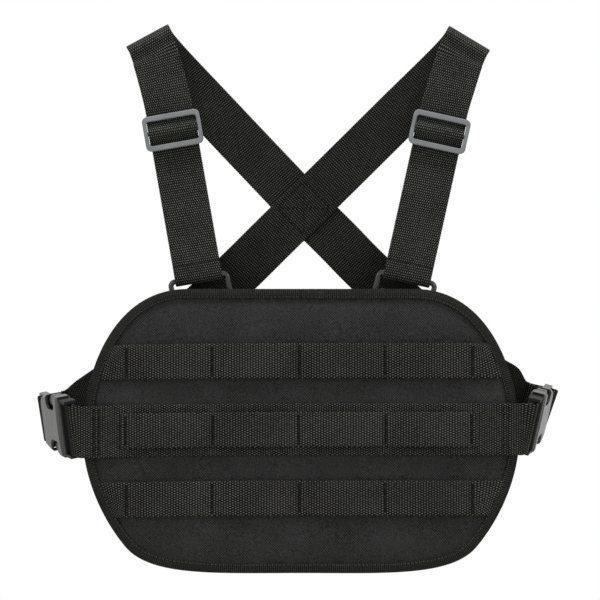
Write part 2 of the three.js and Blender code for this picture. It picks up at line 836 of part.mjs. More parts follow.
function makeSliderWebbing() {
  const crest = SLIDER_BAR_Y - SLIDER.barThickness / 2 - GAP - STRAP.thickness / 2;
  const end = SLIDER.windowHeight / 2 + 1.8;
  const path = [
    [OVER_Y, -end],
    [OVER_Y, -end + 1.6],
    [(OVER_Y + crest) / 2, -4.6],
    [crest, -1.6],
    [crest, 1.6],
    [(OVER_Y + crest) / 2, 4.6],
    [OVER_Y, end - 1.6],
    [OVER_Y, end],
  ];
  const keys = path.map(([y, z]) => ({
    at: vec(0, y, z + SLIDER.distance),
    across: vec(1, 0, 0),
  }));
  return ribbon(smooth(keys, 2), SLIDER.windowWidth - 3 * GAP, STRAP.thickness);
}

for (const { name, strap } of SIDES) {
  add(`${name}_tri_glide`, makeSlider(), GLIDE, strap);
  add(`${name}_tri_glide_webbing`, makeSliderWebbing(), WEBBING, strap);
}

// ---------------------------------------------------------------------------------------------
// Shoulder straps
// ---------------------------------------------------------------------------------------------

// The whole strap above its ring loop, to the loop on the far side's buckle.
function makeShoulderStrap(side) {
  const route = ROUTES[side.name];
  const far = SIDES[route.farSide];
  const along = (z) => ({
    at: vec(0, STRAP_Y, z).applyMatrix4(side.strap.matrixWorld),
    across: acrossAt(-side.sign * side.strapLean),
  });
  const byHand = ([x, y, z, angle]) => ({ at: vec(x, y, z), across: acrossAt(angle) });
  const farX = BUCKLE.barToBar + (STRAP.thickness + GAP) / 2;
  const atBuckle = (out) => ({
    at: vec(farX, -out, 0).applyMatrix4(far.buckle.matrixWorld),
    across: far.barAxis.clone().multiplyScalar(far.sign),
  });
  const keys = [
    ...[RING_LOOP_TOP + 0.6, 50, 90, 118, 136].map(along),
    ...route.upper.map(byHand),
    ...shoulderFold(route.fold),
    ...route.lower.map(byHand),
    atBuckle(LOOP_LENGTH + 2.5),
    atBuckle(LOOP_LENGTH + GAP),
  ];
  return ribbon(smooth(keys, 3), STRAP.width, STRAP.thickness);
}

// Half a turn over the shoulder, round a line that lies across the strap at a slant.
function shoulderFold({ x, z, angle }) {
  const across = acrossAt(angle);
  const outwards = vec(-across.z, 0, across.x);
  const drop = SHOULDER_RADIUS + STRAP.thickness / 2;
  const middle = vec(x, RING.y + STRAP_Y + SHOULDER_RADIUS, z).addScaledVector(outwards, -drop);
  const keys = [];
  for (let k = 0; k <= 4; k++) {
    const turn = (Math.PI * k) / 4;
    const at = middle.clone().addScaledVector(outwards, SHOULDER_RADIUS * Math.sin(turn));
    at.y -= SHOULDER_RADIUS * Math.cos(turn);
    keys.push({ at, across: across.clone() });
  }
  return keys;
}

// The layer that comes back up from the ring behind the strap, to the slider's middle bar.
function makeStrapReturn() {
  const rest = STRAP_Y + STRAP.thickness + GAP;
  const path = [
    [-STRAP_Y, RING_LOOP_TOP + 0.6],
    [-STRAP_Y - 0.9, 24],
    [rest + 0.3, 38],
    [rest, 50],
    [rest, 84],
    [rest, SLIDER.distance],
  ];
  const keys = path.map(([y, z]) => ({ at: vec(0, y, z), across: vec(1, 0, 0) }));
  return ribbon(smooth(keys, 2), STRAP.width, STRAP.thickness);
}

for (const side of SIDES) {
  add(`${side.name}_shoulder_strap`, makeShoulderStrap(side), WEBBING);
  add(`${side.name}_strap_return`, makeStrapReturn(), WEBBING, side.strap);
}

export default rig;
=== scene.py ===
"""Looks of a padded chest rig: woven webbing, a bound padded panel, moulded buckles and glides.

Lengths in the tables below are millimetres, as in the CAD part; MM turns them into metres.
"""

import math

import bmesh
import bpy
import numpy as np
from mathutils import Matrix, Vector


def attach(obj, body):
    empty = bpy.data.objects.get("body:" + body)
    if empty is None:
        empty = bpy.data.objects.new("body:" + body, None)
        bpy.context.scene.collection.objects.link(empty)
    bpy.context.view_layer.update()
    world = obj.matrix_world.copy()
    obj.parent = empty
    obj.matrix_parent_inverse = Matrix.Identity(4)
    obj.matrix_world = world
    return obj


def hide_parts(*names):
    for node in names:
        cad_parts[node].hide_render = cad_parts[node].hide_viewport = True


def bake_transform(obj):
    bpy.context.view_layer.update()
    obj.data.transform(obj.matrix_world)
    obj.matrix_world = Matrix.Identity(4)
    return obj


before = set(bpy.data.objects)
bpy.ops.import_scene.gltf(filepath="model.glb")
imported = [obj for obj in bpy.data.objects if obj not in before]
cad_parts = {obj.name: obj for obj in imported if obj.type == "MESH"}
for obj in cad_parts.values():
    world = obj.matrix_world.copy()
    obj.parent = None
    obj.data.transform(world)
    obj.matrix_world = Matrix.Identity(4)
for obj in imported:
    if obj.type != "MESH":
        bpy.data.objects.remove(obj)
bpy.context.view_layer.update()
MM = 0.001
SECOND_FACE = 500  # added to a strip's u on the face that shows plain cross ribs
# Each webbing's weave: the pitch of the nubs across it and of the ribs along it.
STRAP_WEAVE = (0.8, 1.77)
BELT_WEAVE = (0.87, 1.8)
ROW_WEAVE = (0.92, 2.0)
# Relief of webbing: the hollows between ribs, the nubs (and their share left on the ribbed face),
# and the woven edges, which are thinner for a little way in and bulge outwards at each rib.
RELIEF = dict(hollow=0.22, nub=0.12, plain_share=0.03, edge=0.5, edge_drop=0.25, bulge=0.3)

# ---- Sizes and routes, shared with the CAD part ----

GAP = 0.3
PANEL = dict(top=105, bottom=-105, half=161.5, widest=-2.9, flat=83.9, shoulder=57.5, side=41.5,
             corner=(129.8, -85.7), slope=0.7, reach=29, low=62.9)
BINDING = 7.2
SHELL_Y = -6.6
RIM_Y = -4.0
ROW = dict(width=25.4, thick=1.2, pitch=50.8, cell=64, shift=-1.6, sewn=3, rise=11, lift=2.6)
SAG = 2.2
BELT = dict(width=38, thick=1.5, z=1.3, hem=151)
STRAP = dict(width=34, thick=1.6)
RING = dict(width=38.5, height=11, wire=4, corner=3.2, y=5, z=106)
BAR_Z = RING["height"] / 2 + RING["wire"] / 2
LOOP_TOP = 18
GLIDE = dict(window=37, height=18, thick=3.5, bar=1.8, at=118.2)
BAR_TO_BAR = 58
BAR_R = 2
LOOP_LENGTH = 14
STRAP_Y = -(RING["wire"] / 2 + GAP + STRAP["thick"] / 2)

SIDES = {
    "left": dict(sign=-1, ring=-74.5, strap_lean=9.95, bar=(-169.2, 1.4, 1.4), yaw=71, lean=7.5,
                 tip=11, slack=0.9, skew=0.4),
    "right": dict(sign=1, ring=76.9, strap_lean=12.5, bar=(168.7, 1.4, 3.8), yaw=81, lean=12.5,
                  tip=14, slack=2.2, skew=1.9),
}
ROUTES = {
    "left": dict(
        upper=[(-102.0, 1.9, 256.8, 14), (-106.9, 1.9, 274.5, 17.5)],
        fold=(-114.1, 293, 28.5),
        lower=[(-104.5, 13.6, 278.6, 40), (-60.4, 13.4, 231.4, 43.3), (-22.0, 13.2, 190.9, 43.3),
               (2.2, 13.2, 165.6, 43.8), (26.4, 13.6, 141.6, 44.3), (48.2, 18.4, 119.4, 44.5),
               (97.0, 33.0, 75.0, 47), (137.5, 48.5, 40.8, 52.3), (156.5, 57.5, 29.0, 70)],
        far="right"),
    "right": dict(
        upper=[(111.7, 1.9, 256.8, -15), (117.3, 1.9, 274.5, -18.5)],
        fold=(125.0, 291.1, -31),
        lower=[(115.5, 13.6, 277.6, -42), (70.0, 11.6, 232.4, -45), (26.4, 11.0, 189.2, -45.2),
               (2.2, 11.0, 165.4, -45.2), (-21.8, 11.2, 141.8, -45), (-45.1, 17.4, 118.8, -44.8),
               (-98.0, 32.0, 69.0, -48), (-138.5, 48.5, 35.6, -57), (-160.5, 57.0, 20.8, -69)],
        far="left"),
}


def unit(v):
    v = np.asarray(v, float)
    return v / np.linalg.norm(v, axis=-1, keepdims=True)


def smooth_step(t):
    return t * t * (3 - 2 * t)


def lengths_along(points):
    """Distance of each point from the first, measured along the line."""
    return np.concatenate([[0], np.cumsum(np.linalg.norm(np.diff(points, axis=0), axis=1))])


class Frame:
    """A turned and moved set of axes: its columns are local x, y and z."""

    def __init__(self, axes, origin):
        self.axes, self.origin = np.array(axes, float).T, np.array(origin, float)

    def at(self, *p):
        return self.origin + self.axes @ np.array(p, float)

    def way(self, *p):
        return self.axes @ np.array(p, float)


def strap_frame(side):
    turn = side["sign"] * math.radians(side["strap_lean"])
    c, s = math.cos(turn), math.sin(turn)
    return Frame([(c, 0, -s), (0, 1, 0), (s, 0, c)], (side["ring"], RING["y"], RING["z"]))


def buckle_frame(side):
    yaw, lean, tip = (math.radians(side[k]) for k in ("yaw", "lean", "tip"))
    bars = unit((side["sign"] * math.sin(lean), -math.sin(tip), math.cos(lean)))
    along = np.array((side["sign"] * math.cos(yaw), math.sin(yaw), 0))
    along = unit(along - bars * along.dot(bars))
    z = -side["sign"] * bars
    return Frame([along, np.cross(z, along), z], side["bar"])


for one in SIDES.values():
    one["strap"], one["buckle"] = strap_frame(one), buckle_frame(one)
    one["bars"] = one["buckle"].way(0, 0, -one["sign"])


def spline(keys, steps):
    """Points on a smooth curve through the keys, the same number between each two."""
    keys = np.array(keys, float)
    first, last = 2 * keys[0] - keys[1], 2 * keys[-1] - keys[-2]
    p = np.vstack([first, keys, last])
    out = []
    for i in range(1, len(p) - 2):
        gaps = [max(np.linalg.norm(p[i + k] - p[i + k - 1]) ** 0.5, 1e-4) for k in range(3)]
        a, b, c = gaps
        t1 = ((p[i] - p[i - 1]) / a - (p[i + 1] - p[i - 1]) / (a + b) + (p[i + 1] - p[i]) / b) * b
        t2 = ((p[i + 1] - p[i]) / b - (p[i + 2] - p[i]) / (b + c) + (p[i + 2] - p[i + 1]) / c) * b
        for t in np.linspace(0, 1, steps, endpoint=False):
            out.append(p[i] + t1 * t + (3 * (p[i + 1] - p[i]) - 2 * t1 - t2) * t ** 2
                       + (2 * (p[i] - p[i + 1]) + t1 + t2) * t ** 3)
    out.append(keys[-1])
    return np.array(out)


class Path:
    """A strip's middle line and width direction at even steps along it."""

    def __init__(self, keys, step=1.0, smooth=True):
        at = [k[0] for k in keys]
        across = [k[1] for k in keys]
        if smooth:
            at, across = spline(at, 24), spline(across, 24)
        at, across = np.array(at, float), unit(across)
        lengths = lengths_along(at)
        self.length = lengths[-1]
        count = max(int(round(self.length / step)), 4) + 1
        self.s = np.linspace(0, self.length, count)
        self.at = np.column_stack([np.interp(self.s, lengths, at[:, k]) for k in range(3)])
        self.across = unit(
            np.column_stack([np.interp(self.s, lengths, across[:, k]) for k in range(3)]))
        self.along = unit(np.gradient(self.at, axis=0))
        self.normal = unit(np.cross(self.along, self.across))

    def every(self, step):
        """The same path with stations at another step."""
        return Path(list(zip(self.at, self.across)), step, smooth=False)

    def spot(self, s, a=0.0, out=0.0):
        """The point at distance s along and a across, raised off the middle layer."""
        pick = lambda field: np.array([np.interp(s, self.s, field[:, k]) for k in range(3)])
        return pick(self.at) + a * pick(self.across) + out * pick(self.normal)


# ---- Mesh helpers ----

def mesh(name, verts, faces, look, uvs=None):
    """A mesh object from points in millimetres, with its faces turned outwards."""
    verts = np.asarray(verts, float) * MM
    quads = np.asarray(faces, np.int64)
    a, b, c = (verts[quads[:, k]] for k in (0, 1, 2))
    volume = np.einsum("ij,ij->", a, np.cross(b, c))
    if quads.shape[1] == 4:
        volume += np.einsum("ij,ij->", a, np.cross(c, verts[quads[:, 3]]))
    if volume < 0:
        quads = quads[:, ::-1]
    data = bpy.data.meshes.new(name)
    count, sides = quads.shape
    data.vertices.add(len(verts))
    data.vertices.foreach_set("co", verts.astype(np.float32).ravel())
    data.loops.add(count * sides)
    data.loops.foreach_set("vertex_index", quads.astype(np.int32).ravel())
    data.polygons.add(count)
    data.polygons.foreach_set("loop_start", np.arange(count, dtype=np.int32) * sides)
    data.update(calc_edges=True)
    data.polygons.foreach_set("use_smooth", np.ones(count, bool))
    if uvs is not None:
        layer = data.uv_layers.new(name="weave")
        layer.data.foreach_set("uv", np.asarray(uvs, np.float32)[quads.ravel()].ravel())
    data.validate()
    made = bpy.data.objects.new(name, data)
    bpy.context.scene.collection.objects.link(made)
    data.materials.append(look)
    return made


def tube_faces(rings, size, closed=False):
    """Quads between neighbouring rings of the same size."""
    r = np.arange(rings if closed else rings - 1)[:, None]
    k = np.arange(size)[None, :]
    here, after = r * size, ((r + 1) % rings) * size
    nxt = (k + 1) % size
    return np.stack([here + k, here + nxt, after + nxt, after + k], axis=-1).reshape(-1, 4)


def strip(name, path, width, thick, look, weave=STRAP_WEAVE, ribbed=-1, shape=None):
    """Woven webbing along a path, with rounded woven edges and square ends.

    Every second station is the hollow between two ribs. The face on the side given by ribbed
    shows plain cross ribs, and the other shows a nub wherever a warp thread crosses over a rib.
    """
    nub_pitch, rib_pitch = weave
    count = int(round(width / nub_pitch / 2)) * 2 + 1
    a = np.linspace(-width / 2, width / 2, count)
    path = path.every(rib_pitch / 2)
    n = len(path.s)
    i, j = np.arange(n)[:, None], np.arange(count)[None, :]
    rib = np.where(i % 2 == 0, 0.0, -RELIEF["hollow"])
    nub = np.where((i % 2 == 0) & ((i // 2 + j - count // 2) % 2 == 0), RELIEF["nub"], 0.0)
    selvedge = -RELIEF["edge_drop"] * (np.abs(a) > width / 2 - RELIEF["edge"])[None, :]

    def face(sign):
        relief = thick / 2 + rib + selvedge + (RELIEF["plain_share"] if sign == ribbed else 1) * nub
        return (path.at[:, None, :] + a[None, :, None] * path.across[:, None, :]
                + sign * relief[:, :, None] * path.normal[:, None, :])

    bulge = np.where(np.arange(n) % 2 == 0, RELIEF["bulge"], 0.0)[:, None]
    right = path.at + path.across * (width / 2 + bulge)
    left = path.at - path.across * (width / 2 + bulge)
    rings = np.concatenate([face(1), right[:, None], face(-1)[:, ::-1], left[:, None]], axis=1)
    size = rings.shape[1]
    mark = {sign: SECOND_FACE if sign == ribbed else 0 for sign in (1, -1)}
    u = (np.arange(count) - count // 2) * nub_pitch
    u = np.concatenate([u + mark[1], [u[-1] + RELIEF["edge"] + mark[1]],
                        u[::-1] + mark[-1], [u[0] - RELIEF["edge"] + mark[-1]]])
    v = np.arange(n)[:, None] * rib_pitch / 2
    uv = np.stack([np.broadcast_to(u, (n, size)), np.broadcast_to(v, (n, size))], -1)
    if shape is not None:
        rings = shape(rings)
    made = mesh(name, rings.reshape(-1, 3), tube_faces(n, size), look, uv.reshape(-1, 2))
    close_ends(made)
    return made


def close_ends(made):
    """Fills the open ends of a strip, or the open middle of a sheet."""
    work = bmesh.new()
    work.from_mesh(made.data)
    rims = [e for e in work.edges if e.is_boundary]
    if rims:
        bmesh.ops.holes_fill(work, edges=rims, sides=0)
    work.to_mesh(made.data)
    work.free()


def sweep(name, points, section, look, uvs=None):
    """A section of (out, depth) pairs carried round a flat closed line of (x, z) points."""
    points = np.array(points, float)
    ahead, behind = np.roll(points, -1, 0), np.roll(points, 1, 0)
    along = unit(ahead - behind)
    inward = np.column_stack([along[:, 1], -along[:, 0]])
    rings = []
    for k, (p, n) in enumerate(zip(points, inward)):
        rings.append([(p[0] + n[0] * o, y, p[1] + n[1] * o) for o, y in section(k)])
    rings = np.array(rings)
    size = rings.shape[1]
    return mesh(name, rings.reshape(-1, 3), tube_faces(len(rings), size, closed=True), look, uvs)


# Rings of one stitch: share of its length, share of its radius, lift off the cloth.
STITCH = ((0, 0.35, -0.15), (0.22, 1, 0.1), (0.78, 1, 0.1), (1, 0.35, -0.15))
STITCH_SIDES = 6


def stitches(name, runs, look, length=2.3, gap=0.9, radius=0.3):
    """Short threads laid end to end along runs of (points, outward normals)."""
    verts, faces = [], []
    for points, normals in runs:
        points, normals = np.array(points, float), unit(normals)
        lengths = lengths_along(points)
        total = lengths[-1]
        count = max(int(total // (length + gap)), 1)
        start = (total - count * (length + gap) + gap) / 2
        at = lambda s: np.array([np.interp(s, lengths, points[:, k]) for k in range(3)])
        up = lambda s: np.array([np.interp(s, lengths, normals[:, k]) for k in range(3)])
        for c in range(count):
            s0 = start + c * (length + gap)
            base = len(verts)
            for share, fat, lift in STITCH:
                s = s0 + share * length
                p, n = at(s), unit(up(s))
                t = unit(at(min(s + 0.4, total)) - at(max(s - 0.4, 0)))
                b = np.cross(t, n)
                for k in range(STITCH_SIDES):
                    turn = 2 * math.pi * k / STITCH_SIDES
                    verts.append(p + n * lift + radius * fat
                                 * (math.cos(turn) * b + 0.8 * math.sin(turn) * n))
            faces.extend((tube_faces(len(STITCH), STITCH_SIDES) + base).tolist())
            faces.append([base, base + 1, base + 2, base + 3])
            faces.append([base, base + 3, base + 4, base + 5])
            end = base + (len(STITCH) - 1) * STITCH_SIDES
            faces.append([end + 3, end + 2, end + 1, end])
            faces.append([end + 5, end + 4, end + 3, end])
    return mesh(name, verts, faces, look)


# ---- Materials ----

class Look:
    """A material under construction: small helpers around its node tree."""

    def __init__(self, name, color, roughness, **more):
        self.material = bpy.data.materials.new(name)
        self.material.use_nodes = True
        self.tree = self.material.node_tree
        self.shader = self.tree.nodes["Principled BSDF"]
        self.shader.inputs["Base Color"].default_value = (*color, 1)
        self.shader.inputs["Roughness"].default_value = roughness
        for socket, value in more.items():
            self.shader.inputs[socket.replace("_", " ")].default_value = value

    def node(self, kind, **values):
        made = self.tree.nodes.new(kind)
        for key, value in values.items():
            setattr(made, key, value)
        return made

    def link(self, source, target):
        self.tree.links.new(source, target)

    def math(self, operation, a, b=0.0):
        made = self.node("ShaderNodeMath", operation=operation)
        for socket, value in zip(made.inputs, (a, b)):
            if isinstance(value, (int, float)):
                socket.default_value = value
            else:
                self.link(value, socket)
        return made.outputs[0]

    def coordinates(self, which):
        if which == "weave":
            made = self.node("ShaderNodeUVMap", uv_map="weave")
            return made.outputs[0]
        return self.node("ShaderNodeTexCoord").outputs[which]

    def split(self, vector):
        made = self.node("ShaderNodeSeparateXYZ")
        self.link(vector, made.inputs[0])
        return made.outputs

    def noise(self, vector, scale, detail=3.0):
        made = self.node("ShaderNodeTexNoise")
        made.inputs["Scale"].default_value = scale
        made.inputs["Detail"].default_value = detail
        self.link(vector, made.inputs["Vector"])
        return made.outputs["Fac"]

    def ramp(self, value, stops):
        made = self.node("ShaderNodeValToRGB")
        elements = made.color_ramp.elements
        while len(elements) < len(stops):
            elements.new(0.5)
        for element, (place, color) in zip(elements, stops):
            element.position = place
            element.color = (*color, 1)
        self.link(value, made.inputs[0])
        return made.outputs[0]

    def color(self, socket):
        self.link(socket, self.shader.inputs["Base Color"])

    def roughness(self, value, low, high):
        spread = self.math("MULTIPLY", value, high - low)
        self.link(self.math("ADD", spread, low), self.shader.inputs["Roughness"])

    def bump(self, height, strength, distance):
        made = self.node("ShaderNodeBump")
        made.inputs["Strength"].default_value = strength
        made.inputs["Distance"].default_value = distance
        self.link(height, made.inputs["Height"])
        self.link(made.outputs[0], self.shader.inputs["Normal"])


def grey(v):
    """A very slightly warm grey."""
    return (v, v, v * 0.93)


def woven(name, dark, light, nub_pitch, rib_pitch, nubs=1.0, rough=0.75):
    """Webbing: ribs across the strip, broken into staggered nubs where warp threads cross them. The
    raised ribs and nubs get the light tone, a painted highlight, and the hollows the dark tone,
    painted shade.
    """
    look = Look(name, grey(light), rough, Specular_IOR_Level=0.02)
    u, v, _ = look.split(look.coordinates("weave"))
    second = look.math("GREATER_THAN", u, SECOND_FACE / 2)
    u = look.math("SUBTRACT", u, look.math("MULTIPLY", second, SECOND_FACE))
    wander = look.math("MULTIPLY", look.noise(look.coordinates("Object"), 180, 2), 1.1)
    u, v = look.math("ADD", u, wander), look.math("ADD", v, look.math("MULTIPLY", wander, 0.5))
    wave = lambda x, pitch: look.math("COSINE", look.math("MULTIPLY", x, math.pi / pitch))
    lattice = look.math("MAXIMUM", look.math("MULTIPLY", wave(u, nub_pitch), wave(v, rib_pitch)), 0.0)
    rib = look.math("MAXIMUM", wave(v, rib_pitch / 2), 0.0)
    nub_share = look.math("SUBTRACT", nubs, look.math("MULTIPLY", second, 0.55 * nubs))
    rib_share = look.math("SUBTRACT", 0.36, look.math("MULTIPLY", nub_share, 0.14))
    # Painted highlight and shade: the raised share, which also drives the bump, lightens the ribs and
    # nubs and leaves the hollows dark.
    raised_and_lit = look.math("ADD", look.math("MULTIPLY", lattice, nub_share),
                       look.math("MULTIPLY", rib, rib_share))
    place = look.coordinates("Object")
    threads = look.noise(place, 650, 3)
    cloudy = look.noise(place, 28, 3)
    # Tone for the colour ramp: painted highlight on the raised parts, with random thread and cloudy
    # mottle on top.
    lit_and_mottled_tone = look.math("MULTIPLY", raised_and_lit, look.math("ADD", look.math("MULTIPLY", threads, 1.5), 0.1))
    lit_and_mottled_tone = look.math("MULTIPLY", lit_and_mottled_tone, look.math("ADD", look.math("MULTIPLY", cloudy, 0.8), 0.6))
    look.color(look.ramp(lit_and_mottled_tone, [(0.0, grey(dark)), (0.35, grey(dark + (light - dark) * 0.22)),
                                (1.0, grey(light))]))
    look.bump(look.math("ADD", raised_and_lit, look.math("MULTIPLY", threads, 0.4)), 0.5, 0.0002)
    look.roughness(threads, rough - 0.1, rough + 0.12)
    return look.material


def twill(name, dark, light, pitch, rough=0.85):
    """Close diagonal weave for flat cloth, laid out across the front."""
    look = Look(name, grey(light), rough, Specular_IOR_Level=0.01)
    place = look.coordinates("Object")
    x, _, z = look.split(place)
    diagonal = look.math("ADD", x, look.math("MULTIPLY", z, 0.9))
    other = look.math("SUBTRACT", x, look.math("MULTIPLY", z, 1.05))
    rib = look.math("SINE", look.math("MULTIPLY", diagonal, 2 * math.pi / pitch))
    weft = look.math("SINE", look.math("MULTIPLY", other, 2 * math.pi / (pitch * 0.9)))
    pattern = look.math("ADD", look.math("MULTIPLY", rib, 0.2), look.math("MULTIPLY", weft, 0.2))
    speck = look.noise(place, 900, 2)
    cloudy = look.noise(place, 22, 4)
    total = look.math("ADD", look.math("ADD", pattern, speck), look.math("MULTIPLY", cloudy, 0.3))
    look.color(look.ramp(total, [(0.3, (dark, dark, dark)), (0.95, (light, light, light))]))
    look.bump(look.math("ADD", pattern, look.math("MULTIPLY", speck, 0.6)), 0.5, 0.0002)
    look.roughness(speck, rough - 0.1, rough + 0.1)
    return look.material


def thread(name, dark, light):
    """Bonded sewing thread: a fine twist and a little wax."""
    look = Look(name, grey(light), 0.5, Specular_IOR_Level=0.1)
    place = look.coordinates("Object")
    look.color(look.ramp(look.noise(place, 700, 2), [(0.3, grey(dark)), (0.8, grey(light))]))
    look.bump(look.noise(place, 3000, 2), 0.4, 0.0001)
    return look.material


def moulded(name, color, rough, specular=0.5):
    """Injection-moulded plastic: fine spark texture and faint flow marks."""
    look = Look(name, color, rough, Specular_IOR_Level=specular)
    place = look.coordinates("Object")
    fine = look.noise(place, 2600, 2)
    cloudy = look.noise(place, 60, 3)
    pale = tuple(min(c * 1.25, 1) for c in color)
    deep = tuple(c * 0.8 for c in color)
    look.color(look.ramp(cloudy, [(0.3, deep), (0.55, color), (0.8, pale)]))
    look.bump(fine, 0.35, 0.00006)
    look.roughness(look.noise(place, 300, 3), rough - 0.08, rough + 0.1)
    return look.material


def enamelled(name):
    """Black enamel on wire: a thin gloss coat, a little worn."""
    look = Look(name, (0.006, 0.006, 0.0065), 0.2, Coat_Weight=0.5, Coat_Roughness=0.05,
                Specular_IOR_Level=0.3)
    place = look.coordinates("Object")
    worn = look.noise(place, 900, 4)
    look.color(look.ramp(worn, [(0.3, grey(0.004)), (0.7, grey(0.008)), (0.9, grey(0.02))]))
    look.bump(look.noise(place, 500, 3), 0.15, 0.00008)
    look.roughness(worn, 0.15, 0.35)
    return look.material


# The first tone of each webbing is painted shade for its hollows, the second a painted highlight for
# its nubs and ribs.
STRAP_WEB = woven("strap_webbing", 0.0014, 0.085, *STRAP_WEAVE)
BELT_WEB = woven("belt_webbing", 0.0018, 0.075, *BELT_WEAVE)
ROW_WEB = woven("row_webbing", 0.002, 0.082, *ROW_WEAVE)
TAPE = woven("grosgrain_tape", 0.003, 0.075, 0.7, 1.5, nubs=0.35)
CANVAS = twill("panel_canvas", 0.001, 0.03, 0.0019)
LINING = twill("panel_lining", 0.007, 0.024, 0.0014)
THREAD = thread("bonded_thread", 0.0012, 0.005)
PALE_THREAD = thread("binding_thread", 0.01, 0.045)
ACETAL = moulded("buckle_acetal", (0.016, 0.0165, 0.0155), 0.3)
# Grey nylon whose base colour is raised to stand in for the reflection of a lamp near the camera:
# partly its own grey, partly painted reflection.
GLIDE_NYLON_PAINTED_REFLECTION = moulded("glide_nylon_painted_reflection", (0.095, 0.1, 0.104), 0.4)
# Painted shade: a darker, duller copy of the acetal for the male halves, which sit in the female
# halves' shade.
SHADED_MATT_ACETAL = moulded("buckle_acetal_matt_shaded", (0.006, 0.006, 0.0065), 0.55, specular=0.16)
ENAMEL = enamelled("ring_enamel")

# ---- Panel ----

def bezier(a, b, c, d, count=200):
    t = np.linspace(0, 1, count)[:, None]
    a, b, c, d = (np.array(p, float) for p in (a, b, c, d))
    return a * (1 - t) ** 3 + 3 * b * t * (1 - t) ** 2 + 3 * c * t ** 2 * (1 - t) + d * t ** 3


def outline(count):
    """Evenly spaced (x, z) points round the panel, starting at the middle of its top edge."""
    p = PANEL
    cx, cz = p["corner"]
    dx, dz = p["reach"] * math.sin(p["slope"]), p["reach"] * math.cos(p["slope"])
    half = np.vstack([
        bezier((0, p["top"]), (30, p["top"]), (60, p["top"]), (p["flat"], p["top"])),
        bezier((p["flat"], p["top"]), (p["flat"] + p["shoulder"], p["top"]),
               (p["half"], p["widest"] + p["side"]), (p["half"], p["widest"])),
        bezier((p["half"], p["widest"]), (p["half"], p["widest"] - p["reach"]),
               (cx + dx, cz + dz), (cx, cz)),
        bezier((cx, cz), (cx - dx, cz - dz), (p["low"], p["bottom"]), (0, p["bottom"])),
    ])
    whole = np.vstack([half, (half * (-1, 1))[::-1]])
    keep = np.concatenate([[True], np.linalg.norm(np.diff(whole, axis=0), axis=1) > 1e-6])
    whole = whole[keep]
    s = lengths_along(whole)
    at = np.linspace(0, s[-1], count, endpoint=False)
    return np.column_stack([np.interp(at, s, whole[:, 0]), np.interp(at, s, whole[:, 1])])


FINE = outline(900)
COARSE = outline(300)


def half_width(z):
    """How far out the panel's outline is at a height."""
    right = FINE[FINE[:, 0] > 0]
    order = np.argsort(right[:, 1])
    return np.interp(z, right[order, 1], right[order, 0])


def sag(x):
    return np.where(x < 0, -SAG * (x / PANEL["half"]) ** 2, 0)


ROWS = {"top": BELT["z"] + ROW["pitch"], "middle": BELT["z"], "bottom": BELT["z"] - ROW["pitch"]}
LINES = [ROW["shift"] + ROW["cell"] * k for k in range(-2, 3)]


def edge_distance(points):
    """Distance from each (x, z) point to the panel's outline."""
    apart = points[:, None, :] - COARSE[None, :, :]
    return np.sqrt((apart ** 2).sum(-1).min(1))


def quilted(x, z):
    """How far the cloth is held down by the edge seam and by the rows' stitching, 0 to 1."""
    d = edge_distance(np.column_stack([x, z]))
    puff = 1 - np.exp(-np.clip(d - 8, 0, None) / 6.5)
    for height in ROWS.values():
        for line in LINES:
            near = np.hypot((x - line) / 7.0, np.clip(np.abs(z - height - sag(x)) - 11, 0, None) / 6)
            puff = puff * (1 - 0.3 * np.exp(-near ** 2))
    return puff


